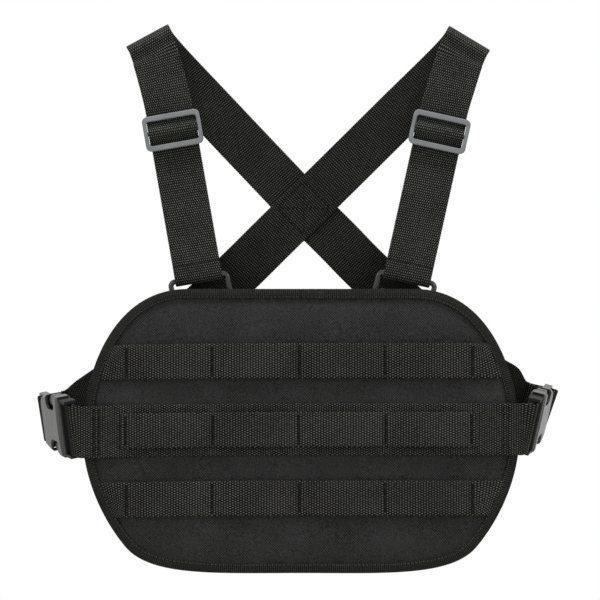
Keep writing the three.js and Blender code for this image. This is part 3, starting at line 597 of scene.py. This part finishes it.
def swollen(held, cap, step=5.0, margin=7.0):
    """Simulated swelling, 0 to 1, of cloth over foam that is held at its edge and where it is sewn.

    A flat sheet the size of the panel is blown up as cloth. held(x, z) is true where stitching
    holds it down, and cap is the rise in millimetres that counts as fully swollen.
    """
    xs, zs = np.arange(-160, 160.1, step), np.arange(-105, 105.1, step)
    x, z = np.meshgrid(xs, zs, indexing="ij")
    flat = np.column_stack([x.ravel(), z.ravel()])
    inside = ((np.abs(x) < half_width(z)) & (edge_distance(flat).reshape(x.shape) > margin))
    cells = inside[:-1, :-1] & inside[1:, :-1] & inside[1:, 1:] & inside[:-1, 1:]
    number = np.arange(x.size).reshape(x.shape)
    faces = np.stack([number[:-1, :-1], number[1:, :-1], number[1:, 1:], number[:-1, 1:]], -1)[cells]
    around = np.pad(cells, 1)
    full = around[:-1, :-1] & around[1:, :-1] & around[:-1, 1:] & around[1:, 1:]
    used, faces = np.unique(faces, return_inverse=True)
    sheet = bpy.data.meshes.new("sheet")
    sheet.from_pydata([(a * MM, 0, b * MM) for a, b in flat[used]], [], faces.reshape(-1, 4).tolist())
    cloth = bpy.data.objects.new("sheet", sheet)
    bpy.context.scene.collection.objects.link(cloth)
    sewn = (~full | held(x, z)).ravel()[used]
    cloth.vertex_groups.new(name="sewn").add(np.flatnonzero(sewn).tolist(), 1.0, "REPLACE")
    modifier = cloth.modifiers.new("cloth", "CLOTH")
    modifier.settings.vertex_group_mass = "sewn"
    modifier.settings.mass = 0.02
    modifier.settings.use_pressure = True
    modifier.settings.uniform_pressure_force = 4
    modifier.settings.effector_weights.gravity = 0
    modifier.collision_settings.use_collision = False
    for frame_number in range(1, 21):
        bpy.context.scene.frame_set(frame_number)
    blown = cloth.evaluated_get(bpy.context.evaluated_depsgraph_get()).data
    moved = np.empty(len(used) * 3)
    blown.vertices.foreach_get("co", moved)
    lift = np.zeros(x.size)
    lift[used] = np.clip(np.abs(moved.reshape(-1, 3)[:, 1]) / MM / cap, 0, 1)
    lift = lift.reshape(x.shape)
    bpy.data.objects.remove(cloth)
    bpy.data.meshes.remove(sheet)
    bpy.context.scene.frame_set(1)

    def at(px, pz):
        a = np.clip((px - xs[0]) / step, 0, len(xs) - 1.001)
        b = np.clip((pz - zs[0]) / step, 0, len(zs) - 1.001)
        i, j = a.astype(int), b.astype(int)
        a, b = a - i, b - j
        a, b = smooth_step(a), smooth_step(b)
        return ((lift[i, j] * (1 - a) + lift[i + 1, j] * a) * (1 - b)
                + (lift[i, j + 1] * (1 - a) + lift[i + 1, j + 1] * a) * b)

    return at


def row_stitching(x, z):
    """Where the rows' stitching holds the front down."""
    held = np.zeros(np.shape(x), bool)
    for height in ROWS.values():
        for line in LINES:
            held |= (np.abs(x - line) < 4) & (np.abs(z - height - sag(x)) < 13)
    return held


def rear_stitching(x, z):
    """Where the lining is held down, at its two upper corners beside the ring keepers."""
    return (np.abs(np.abs(x) - 96) < 15) & (z > 58)


SIMULATED = 0.6   # share of the swelling that the cloth simulation gives


def panel_face(name, look, rim_y, rise, back, held, cap):
    """One side of the padded panel: a closed sheet that swells between its seams."""
    swell = swollen(held, cap)
    near_edge = [0.88, 0.905, 0.925, 0.94, 0.955, 0.975, 0.992]
    shares = np.concatenate([np.linspace(0.003, 0.85, 40), near_edge])
    rings, outer = [], outline(420)
    for share in shares:
        xz = outer * share
        puff = ((1 - SIMULATED) * quilted(xz[:, 0], xz[:, 1])
                + SIMULATED * swell(xz[:, 0], xz[:, 1]))
        wrinkle = (np.sin(xz[:, 0] * 0.31 + 2 * np.sin(xz[:, 1] * 0.11))
                   * np.sin(xz[:, 1] * 0.23 + xz[:, 0] * 0.05)) * 0.12 * puff
        rings.append(np.column_stack([xz[:, 0], rim_y + rise * puff + wrinkle, xz[:, 1]]))
    rings += [np.column_stack([r[:, 0], np.full(len(r), back), r[:, 2]])
              for r in (rings[-1], rings[0])]
    rings = np.array(rings)
    face = mesh(name, rings.reshape(-1, 3), tube_faces(len(rings), rings.shape[1]), look)
    close_ends(face)
    return face


front = panel_face("panel_front", CANVAS, RIM_Y, SHELL_Y - RIM_Y - 0.15, RIM_Y + 0.9,
                   row_stitching, 1.1)
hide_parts("front_shell", "foam_pad")
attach(front, "harness")

rear = panel_face("panel_rear_lining", LINING, 0.0, 0.9, -0.8, rear_stitching, 3.2)
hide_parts("rear_lining")
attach(rear, "harness")


def binding_section(k):
    """Folded grosgrain at station k: ribs run from lip to lip round the edge."""
    rib = 0.03 if k % 2 == 0 else -0.03
    wave = 0.25 * math.sin(k * 0.021) + 0.15 * math.sin(k * 0.053 + 1)
    lip = BINDING + wave
    outside = [(lip, 1.75), (lip - 0.5, 2.0 + rib), (lip / 2, 1.7 + rib), (1.2, 1.3 + rib),
               (0.35, 0.9 + rib), (-0.05 - rib, -0.6), (-0.15 - rib, -2.0), (-0.05 - rib, -3.6),
               (0.4, -4.9 - rib), (1.3, -5.5 - rib), (lip / 2, -6.1 - rib), (lip - 2.0, -6.0 - rib),
               (lip - 0.4, -5.6 - rib), (lip, -5.2)]
    inside = [(lip, -5.1), (lip / 2, -5.0), (1.4, -4.6), (0.9, -3.0), (0.9, -0.5), (1.5, 0.5),
              (lip / 2, 0.9), (lip, 1.1)]
    return outside + inside


# Millimetres round the section, for the weave; the tape's ribs follow the stations.
round_section = [0, 0.6, 4, 7, 8, 9.3, 10.6, 12, 13, 14, 17, 20, 21, 22, 22.5, 25, 28, 30, 32, 33,
                 36, 39]
u, v = np.meshgrid(np.array(round_section, float), np.arange(len(FINE), dtype=float))
binding = sweep("edge_binding_tape", FINE, binding_section, TAPE,
                uvs=np.column_stack([u.ravel(), v.ravel()]))
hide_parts("edge_binding")
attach(binding, "harness")


def inset_line(distance, y, count=900):
    """The panel's outline moved inwards by a distance, at depth y."""
    points = outline(count)
    along = unit(np.roll(points, -1, 0) - np.roll(points, 1, 0))
    inward = np.column_stack([along[:, 1], -along[:, 0]])
    moved = points + inward * distance
    return np.column_stack([moved[:, 0], np.full(count, y), moved[:, 1]])


def loop_run(line, normal):
    """A run of stitches all the way round a closed line."""
    return np.vstack([line, line[:1]]), np.tile(normal, (len(line) + 1, 1))


seam = stitches("binding_stitches", [
    loop_run(inset_line(BINDING - 1.3, -5.95), (0, -1, 0)),
    loop_run(inset_line(BINDING - 1.7, 1.8), (0, 1, 0)),
], PALE_THREAD, length=1.7, gap=1.1, radius=0.3)
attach(seam, "harness")

# ---- Rows and belt ----

# Half the length of each row; the outer ones run under the binding.
ROW_REACH = {"top": PANEL["half"] - 13, "middle": 132, "bottom": PANEL["half"] - 13}
TUCKED_FROM = 130   # where a row starts to follow the panel's edge
TUCKED_Y = -4.75    # depth of its middle layer at its end, under the binding


def upright_run(x, y, z, height):
    """Stitches up the front at x, over the z offsets from a height that sags."""
    x = np.full(len(z), x)
    points = np.column_stack([x, np.full(len(z), y), height + sag(x) + z])
    return points, np.tile((0, -1, 0), (len(z), 1))


def row_profile(rear_y, reach):
    """A row's x and its middle layer's y: sewn down at LINES, and standing off between them."""
    x = np.linspace(-reach, reach, 900)
    away = np.min([np.abs(x - (line - ROW["shift"])) for line in LINES], axis=0)
    inner = np.abs(x) < 2 * ROW["cell"]
    lift = smooth_step(np.clip((away - ROW["sewn"]) / ROW["rise"], 0, 1) * inner) * ROW["lift"]
    crown = 0.25 * np.sin(np.clip((away - 14) / 36, 0, 1) * np.pi) * inner
    groove = 0.55 * np.exp(-((away / 1.5) ** 4))
    return x, rear_y - ROW["thick"] / 2 - lift - crown + groove


def add_row(name, height):
    """One row of attachment webbing with its stitching. The middle row lies on the belt."""
    middle = name == "middle"
    reach = ROW_REACH[name]
    rear_y = SHELL_Y - GAP - (BELT["thick"] + GAP if middle else 0)
    x, y = row_profile(rear_y, reach)
    if not middle:
        dip = smooth_step(np.clip((np.abs(x) - 136) / (reach - 137), 0, 1))
        y = y + dip * (TUCKED_Y - (rear_y - ROW["thick"] / 2))
    centre = np.column_stack([x + ROW["shift"], y, height + sag(x)])
    path = Path([(p, (0, 0, 1)) for p in centre], step=0.9, smooth=False)

    def tuck(rings):
        """Spreads the ends of the row so that they follow the panel's curved edge."""
        x, z = rings[..., 0], rings[..., 2]
        share = np.clip((np.abs(x - ROW["shift"]) - TUCKED_FROM) / (reach - TUCKED_FROM), 0, 1)
        target = half_width(z) - BINDING + 2.2
        rings[..., 0] = x + np.sign(x) * share * (target - (reach + np.sign(x) * ROW["shift"]))
        return rings

    row = strip(f"row_{name}_webbing", path, ROW["width"], ROW["thick"], ROW_WEB,
                weave=ROW_WEAVE, shape=None if middle else tuck)
    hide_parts(f"webbing_row_{name}")
    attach(row, "harness")
    front_y = rear_y - ROW["thick"] + 0.3
    z = np.linspace(-ROW["width"] / 2 + 0.8, ROW["width"] / 2 - 0.8, 12)
    runs = [upright_run(line + aside, front_y, z, height) for line in LINES for aside in (-0.5, 0.5)]
    tack = stitches(f"row_{name}_stitches", runs, THREAD, length=2.2, gap=0.25, radius=0.46)
    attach(tack, "harness")


for name, height in ROWS.items():
    add_row(name, height)

BELT_MIDDLE_Y = SHELL_Y - GAP - BELT["thick"] / 2
HEM_Y = -9.02   # front of the belt's folded end, under its stitches


def belt_keys(side):
    """Keys of one half of the belt: across the panel, round the buckle's bar and back to its hem."""
    sign, buckle = side["sign"], side["buckle"]
    raised = RIM_Y - 1 - 3 * GAP - 1.5 * BELT["thick"] - 0.1
    back = raised + BELT["thick"] + GAP + 0.1
    wrap = BAR_R + GAP + BELT["thick"] / 2
    on_panel = lambda x, y: ((sign * x, y, BELT["z"] + float(sag(np.float64(sign * x)))), (0, 0, 1))
    on_buckle = lambda x, y: (buckle.at(x, y, 0), side["bars"])
    return (
        [on_panel(x, BELT_MIDDLE_Y) for x in (0, 60, 100, 130, 140)]
        + [on_panel(x, raised) for x in (149, 156, 162)]
        + [on_buckle(*p) for p in ((-8.2, wrap + 0.3), (-4.2, wrap + 0.3), (-0.6, wrap + 0.05),
                                   (wrap * 0.75, wrap * 0.66), (wrap, 0),
                                   (wrap * 0.75, -wrap * 0.66), (0, -wrap), (-3.6, -wrap * 0.62),
                                   (-7.0, 0.5))]
        + [on_panel(x, back) for x in (163.5, 160, 156, BELT["hem"])]
    )


halves = [belt_keys(SIDES[s]) for s in ("left", "right")]
belt_path = Path(halves[0][1:][::-1] + halves[1], step=0.95)
belt = strip("chest_belt_webbing", belt_path, BELT["width"], BELT["thick"], BELT_WEB,
             weave=BELT_WEAVE)
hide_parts("chest_belt")
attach(belt, "harness")

z = np.linspace(-17.5, 17.5, 14)
hems = [upright_run(sign * (BELT["hem"] + aside), HEM_Y, z, BELT["z"])
        for sign in (-1, 1) for aside in (-1.5, 2.2)]
hem = stitches("belt_hem_stitches", hems, THREAD, length=2.2, gap=0.3, radius=0.44)
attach(hem, "harness")

# ---- Rings, keepers, strap loops ----

def rounded(width, height, radius, steps=8):
    """(x, z) points round a rounded rectangle."""
    points = []
    for cx, cz, start in ((1, -1, -90), (1, 1, 0), (-1, 1, 90), (-1, -1, 180)):
        for k in range(steps + 1):
            turn = math.radians(start + 90 * k / steps)
            points.append((cx * (width / 2 - radius) + radius * math.cos(turn),
                           cz * (height / 2 - radius) + radius * math.sin(turn)))
    return np.array(points)


WIRE_SIDES = 16


def ring_wire(name, axes):
    """Round wire bent to a rectangle."""
    middle = rounded(RING["width"] + RING["wire"], RING["height"] + RING["wire"], RING["corner"])
    along = unit(np.roll(middle, -1, 0) - np.roll(middle, 1, 0))
    normal = np.column_stack([along[:, 1], -along[:, 0]])
    turn = np.linspace(0, 2 * math.pi, WIRE_SIDES, endpoint=False)
    out, y = RING["wire"] / 2 * np.cos(turn), RING["wire"] / 2 * np.sin(turn)
    rings = np.stack([middle[:, None, 0] + normal[:, None, 0] * out,
                      np.broadcast_to(y, (len(middle), WIRE_SIDES)),
                      middle[:, None, 1] + normal[:, None, 1] * out], -1)
    points = rings.reshape(-1, 3) @ axes.axes.T + axes.origin
    return mesh(name, points, tube_faces(len(middle), WIRE_SIDES, closed=True), ENAMEL)


def level_keys(axes, points):
    """Keys at (y, z) points in the strap's own frame, with the webbing level across."""
    return [(axes.at(0, y, z), axes.way(1, 0, 0)) for y, z in points]


def fold_keys(axes, bar_z, direction, wrap, front_tail, rear_tail):
    """Keys of webbing folded round a ring bar, in the strap's own frame."""
    turns = []
    for k in range(5):
        angle = math.pi * k / 4
        turns.append((-wrap * math.cos(angle), bar_z - direction * wrap * math.sin(angle)))
    return level_keys(axes, front_tail + turns + rear_tail)


KEEPER = dict(width=34, thick=1.4, bottom=-38)
OVER_Y = STRAP_Y - STRAP["thick"] - GAP
GLIDE_Y = OVER_Y - STRAP["thick"] / 2 - GAP - GLIDE["thick"] / 2
GLIDE_BAR_Y = GLIDE_Y + GLIDE["thick"] / 2 - GLIDE["bar"] / 2 - 0.3


def box_stitch(path, s0, s1, half, out):
    """Runs of a sewn box, with its diagonals, on one face of a strip."""
    side = 1 if out > 0 else -1
    up = side * np.array([np.interp((s0 + s1) / 2, path.s, path.normal[:, k]) for k in range(3)])
    lines = [((s0, -half), (s0, half)), ((s1, -half), (s1, half)),
             ((s0, -half), (s1, -half)), ((s0, half), (s1, half)),
             ((s0, -half), (s1, half)), ((s0, half), (s1, -half))]
    runs = []
    for a, b in lines:
        points = [path.spot(a[0] + (b[0] - a[0]) * t, a[1] + (b[1] - a[1]) * t, out)
                  for t in np.linspace(0, 1, 16)]
        runs.append((np.array(points), np.tile(up, (16, 1))))
    return runs


def shoulder_fold(x, z, angle, below, radius=6):
    """Keys over the shoulder: a pinch a little way up from the key below, then a round fold."""
    across = np.array((math.cos(math.radians(angle)), 0, math.sin(math.radians(angle))))
    outwards = np.array((-across[2], 0, across[0]))
    middle = np.array((x, RING["y"] + STRAP_Y + radius, z))
    middle = middle - outwards * (radius + STRAP["thick"] / 2)
    foot = middle - np.array((0, radius, 0))
    drop = np.array(below[0]) - foot
    pinch = foot + drop * 6 / np.linalg.norm(drop) + np.array((0, 1.1, 0))
    keys = [(pinch, across)]
    for k in range(5):
        turn = math.pi * k / 4
        out = radius * math.sin(turn) + (1.6 if k == 0 else 0)
        ahead = (radius + (0.5 if k == 0 else 0)) * math.cos(turn)
        keys.append((middle + outwards * out - np.array((0, ahead, 0)), across))
    return keys


def by_hand(key):
    """A key from a route's (x, y, z, turn of the webbing in degrees)."""
    x, y, z, angle = key
    return (x, y, z), (math.cos(math.radians(angle)), 0, math.sin(math.radians(angle)))


def add_ring(side_name, side):
    """The ring, which swings on its keeper."""
    ring = ring_wire(f"{side_name}_ring_wire", side["strap"])
    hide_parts(f"{side_name}_ring")
    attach(ring, f"{side_name}_ring_set")


def add_keeper(side_name, side):
    """Keeper: sewn to the lining, round the ring's lower bar."""
    wrap = RING["wire"] / 2 + GAP + KEEPER["thick"] / 2
    lining_y = -RING["y"] + GAP + KEEPER["thick"] / 2
    back_y = lining_y + KEEPER["thick"] + GAP
    front_tail = [(lining_y + 0.6, KEEPER["bottom"]), (lining_y + 0.6, KEEPER["bottom"] + 8),
                  (lining_y + 0.6, -18), (lining_y + 2.0, -10.5)]
    rear_tail = [(wrap - 0.6, -11.5), (back_y + 1.0, -21), (back_y + 0.6, KEEPER["bottom"] + 8),
                 (back_y + 0.6, KEEPER["bottom"])]
    path = Path(fold_keys(side["strap"], -BAR_Z, -1, wrap, front_tail, rear_tail))
    keeper = strip(f"{side_name}_ring_keeper_webbing", path, KEEPER["width"], KEEPER["thick"],
                   STRAP_WEB, ribbed=1)
    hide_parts(f"{side_name}_ring_keeper")
    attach(keeper, "harness")
    runs = box_stitch(path, path.length - 18, path.length - 2.5, 14, -KEEPER["thick"] / 2 - 0.1)
    sewn = stitches(f"{side_name}_ring_keeper_stitches", runs, THREAD)
    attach(sewn, "harness")


def add_ring_loop(side_name, side):
    """Strap loop round the upper bar, between the ring and the strap above it."""
    axes, top = side["strap"], LOOP_TOP + 0.25
    keys = fold_keys(axes, BAR_Z, 1, -STRAP_Y, [(STRAP_Y, top), (STRAP_Y, top - 4)],
                     [(-STRAP_Y, top - 4), (-STRAP_Y, top)])
    loop = strip(f"{side_name}_strap_ring_loop_webbing", Path(keys), STRAP["width"] + 0.9,
                 STRAP["thick"], STRAP_WEB)
    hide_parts(f"{side_name}_strap_ring_loop")
    axes.at(0, 0, LOOP_TOP) * MM
    axes.at(0, 0, 4) * MM
    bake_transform(loop)


def add_return_layer(side_name, side):
    """Layer that comes back up to the glide."""
    axes, rest = side["strap"], STRAP_Y + STRAP["thick"] + GAP
    keys = level_keys(axes, [(-STRAP_Y, LOOP_TOP + 0.3), (-STRAP_Y - 0.9, 24), (rest + 0.3, 38),
                             (rest, 50), (rest, 84), (rest, GLIDE["at"])])
    layer = strip(f"{side_name}_strap_return_webbing", Path(keys), STRAP["width"], STRAP["thick"],
                  STRAP_WEB)
    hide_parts(f"{side_name}_strap_return")
    axes.at(0, 0, 24) * MM
    axes.at(0, 0, GLIDE["at"] - 8) * MM
    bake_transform(layer)


def add_glide_arch(side_name, side):
    """Webbing over the glide's middle bar."""
    crest = GLIDE_BAR_Y - GLIDE["bar"] / 2 - GAP - STRAP["thick"] / 2
    end = GLIDE["height"] / 2 + 1.8
    arch = [(OVER_Y, -end), (OVER_Y, -end + 1.6), ((OVER_Y + crest) / 2, -4.6), (crest, -1.6),
            (crest, 1.6), ((OVER_Y + crest) / 2, 4.6), (OVER_Y, end - 1.6), (OVER_Y, end)]
    keys = level_keys(side["strap"], [(y, z + GLIDE["at"]) for y, z in arch])
    arch = strip(f"{side_name}_glide_webbing", Path(keys), GLIDE["window"] - 3 * GAP,
                 STRAP["thick"], STRAP_WEB, ribbed=1)
    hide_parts(f"{side_name}_tri_glide_webbing")
    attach(arch, f"{side_name}_glide_set")


def add_rear_loop(side_name, side):
    """The strap's rear loop on the buckle's far bar: slack, and a little askew."""
    buckle, slack = side["buckle"], side["slack"]
    wrap = BAR_R + GAP + STRAP["thick"] / 2
    crest = wrap + slack
    half = (STRAP["thick"] + GAP) / 2
    # Points out from the bar, along the strap, and the share of the skew.
    turn = [(half, -LOOP_LENGTH, 0), (half + 0.3, -LOOP_LENGTH + 4, 0), (wrap * 0.9, -2.6, 0.2),
            (wrap, 0.4 * slack, 0.6), (wrap * 0.75, crest - 0.3 * wrap, 1), (0, crest, 1),
            (-wrap * 0.75, crest - 0.3 * wrap, 1), (-wrap, 0.4 * slack, 0.6),
            (-wrap * 0.9, -2.6, 0.2), (-half - 0.3, -LOOP_LENGTH + 4, 0), (-half, -LOOP_LENGTH, 0)]
    keys = [(buckle.at(BAR_TO_BAR + x, y, 0),
             buckle.way(0, -side["sign"] * share * side["skew"] * 2 / STRAP["width"], 1))
            for x, y, share in turn]
    loop = strip(f"{side_name}_rear_loop_webbing", Path(keys), STRAP["width"], STRAP["thick"],
                 STRAP_WEB)
    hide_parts(f"{side_name}_rear_strap_loop")
    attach(loop, f"{side_name}_free_half")


def add_shoulder_strap(side_name, side):
    """The long strap: ring loop, glide, shoulder fold, crossing, far buckle. Returns its path."""
    route = ROUTES[side_name]
    far = SIDES[route["far"]]
    lean = math.radians(-side["sign"] * side["strap_lean"])
    level = (math.cos(lean), 0, math.sin(lean))
    upper = [by_hand(k) for k in route["upper"]]
    keys = [(side["strap"].at(0, STRAP_Y, z), level) for z in (LOOP_TOP + 0.3, 50, 90, 118, 136)]
    keys += upper + shoulder_fold(*route["fold"], upper[-1])
    keys += [by_hand(k) for k in route["lower"]]
    far_x = BAR_TO_BAR + (STRAP["thick"] + GAP) / 2
    keys += [(far["buckle"].at(far_x, -out, 0), far["sign"] * far["bars"])
             for out in (LOOP_LENGTH + 2.5, LOOP_LENGTH + GAP)]
    path = Path(keys)
    strap = strip(f"{side_name}_shoulder_webbing", path, STRAP["width"] + 0.9, STRAP["thick"],
                  STRAP_WEB, ribbed=1)
    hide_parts(f"{side_name}_shoulder_strap")
    path.spot(path.length - 95) * MM
    path.spot(path.length - 12) * MM
    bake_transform(strap)
    return path


for side_name, side in SIDES.items():
    add_ring(side_name, side)
    add_keeper(side_name, side)
    add_ring_loop(side_name, side)
    add_return_layer(side_name, side)
    add_glide_arch(side_name, side)
    add_rear_loop(side_name, side)
    side["path"] = add_shoulder_strap(side_name, side)

# Box stitch where the straps cross, sewn through the front one.
CROSSING = ROUTES["right"]["lower"][3][:3]
BOX = 14   # half the side of the sewn box
front_strap = SIDES["right"]["path"]
nearest = int(np.argmin(np.linalg.norm(front_strap.at - np.array(CROSSING), axis=1)))
centre = front_strap.s[nearest]
facing = -1 if front_strap.normal[nearest][1] > 0 else 1
runs = box_stitch(front_strap, centre - BOX, centre + BOX, BOX,
                  facing * (STRAP["thick"] / 2 + 0.05))
sewn = stitches("crossing_stitches", runs, THREAD, radius=0.28)
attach(sewn, "harness")

# ---- Moulded pieces keep their CAD shape, with softened edges ----

def soften(node, look, width):
    """Gives a CAD node a material and rounded edges of a width in millimetres."""
    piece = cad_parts[node]
    weld = piece.modifiers.new("weld", "WELD")
    weld.merge_threshold = 0.00002
    bevel = piece.modifiers.new("bevel", "BEVEL")
    bevel.width = width * MM
    bevel.segments = 3
    bevel.limit_method = "ANGLE"
    bevel.angle_limit = math.radians(28)
    bevel.use_clamp_overlap = True
    bevel.harden_normals = False
    piece.data.polygons.foreach_set("use_smooth", np.ones(len(piece.data.polygons), bool))
    normals = piece.modifiers.new("normals", "WEIGHTED_NORMAL")
    normals.keep_sharp = True
    for slot in piece.material_slots:
        slot.link = "OBJECT"
        slot.material = look


for side_name in SIDES:
    # The male halves take the acetal copy painted darker as shade.
    soften(f"{side_name}_buckle_male", SHADED_MATT_ACETAL, 0.5)
    soften(f"{side_name}_buckle_female", ACETAL, 0.7)
    soften(f"{side_name}_prong_upper", ACETAL, 0.5)
    soften(f"{side_name}_prong_lower", ACETAL, 0.5)
    soften(f"{side_name}_tri_glide", GLIDE_NYLON_PAINTED_REFLECTION, 0.5)

# ---- Studio ----

def area_light(name, place, target, size, power, glossy=True):
    """A soft round lamp; where glossy is false, the moulded faces don't mirror it."""
    data = bpy.data.lights.new(name, "AREA")
    data.shape = "DISK"
    data.size = size
    data.energy = power
    lamp = bpy.data.objects.new(name, data)
    lamp.location = place
    lamp.visible_glossy = glossy
    lamp.rotation_euler = (Vector(target) - Vector(place)).to_track_quat("-Z", "Y").to_euler()
    bpy.context.scene.collection.objects.link(lamp)


def floor(radius=1.2, height=-0.30, count=96):
    """A pale round floor below the rig, in metres."""
    turns = [2 * math.pi * k / count for k in range(count)]
    ring = [(radius * math.cos(turn), radius * math.sin(turn), height) for turn in turns]
    data = bpy.data.meshes.new("floor")
    data.from_pydata(ring, [], [list(range(count))])
    made = bpy.data.objects.new("floor", data)
    bpy.context.scene.collection.objects.link(made)
    look = Look("pale_floor", (0.8, 0.8, 0.79), 0.8)
    cloudy = look.noise(look.coordinates("Object"), 5, 3)
    look.color(look.ramp(cloudy, [(0.3, grey(0.78)), (0.7, grey(0.84))]))
    data.materials.append(look.material)


floor()
world = bpy.data.worlds.new("studio")
world.use_nodes = True
world.node_tree.nodes["Background"].inputs[0].default_value = (1, 1, 1, 1)
world.node_tree.nodes["Background"].inputs[1].default_value = 1.0
bpy.context.scene.world = world
bpy.context.scene.view_settings.view_transform = "Standard"

middle = (0, 0, 0.09)
area_light("key_left", (-1.3, -1.2, 0.9), middle, 0.9, 6)
area_light("key_right", (1.3, -1.2, 0.9), middle, 0.9, 6)
area_light("top", (0, -0.45, 1.6), middle, 0.45, 40, glossy=False)
area_light("rear", (0, 1.5, 0.9), middle, 1.0, 10, glossy=False)

# The camera looks straight at the front from far off, as in the photo; metres.
DISTANCE = 8.0
FRAME_WIDTH = 0.444
SENSOR = 36
lens = bpy.data.cameras.new("camera")
lens.sensor_width = SENSOR
lens.lens = SENSOR * DISTANCE / FRAME_WIDTH
lens.clip_start = 0.1
lens.clip_end = 60
camera = bpy.data.objects.new("camera", lens)
camera.location = (-0.00074, -DISTANCE, 0.0969)
camera.rotation_euler = (math.pi / 2, 0, 0)
bpy.context.scene.collection.objects.link(camera)
bpy.context.scene.camera = camera
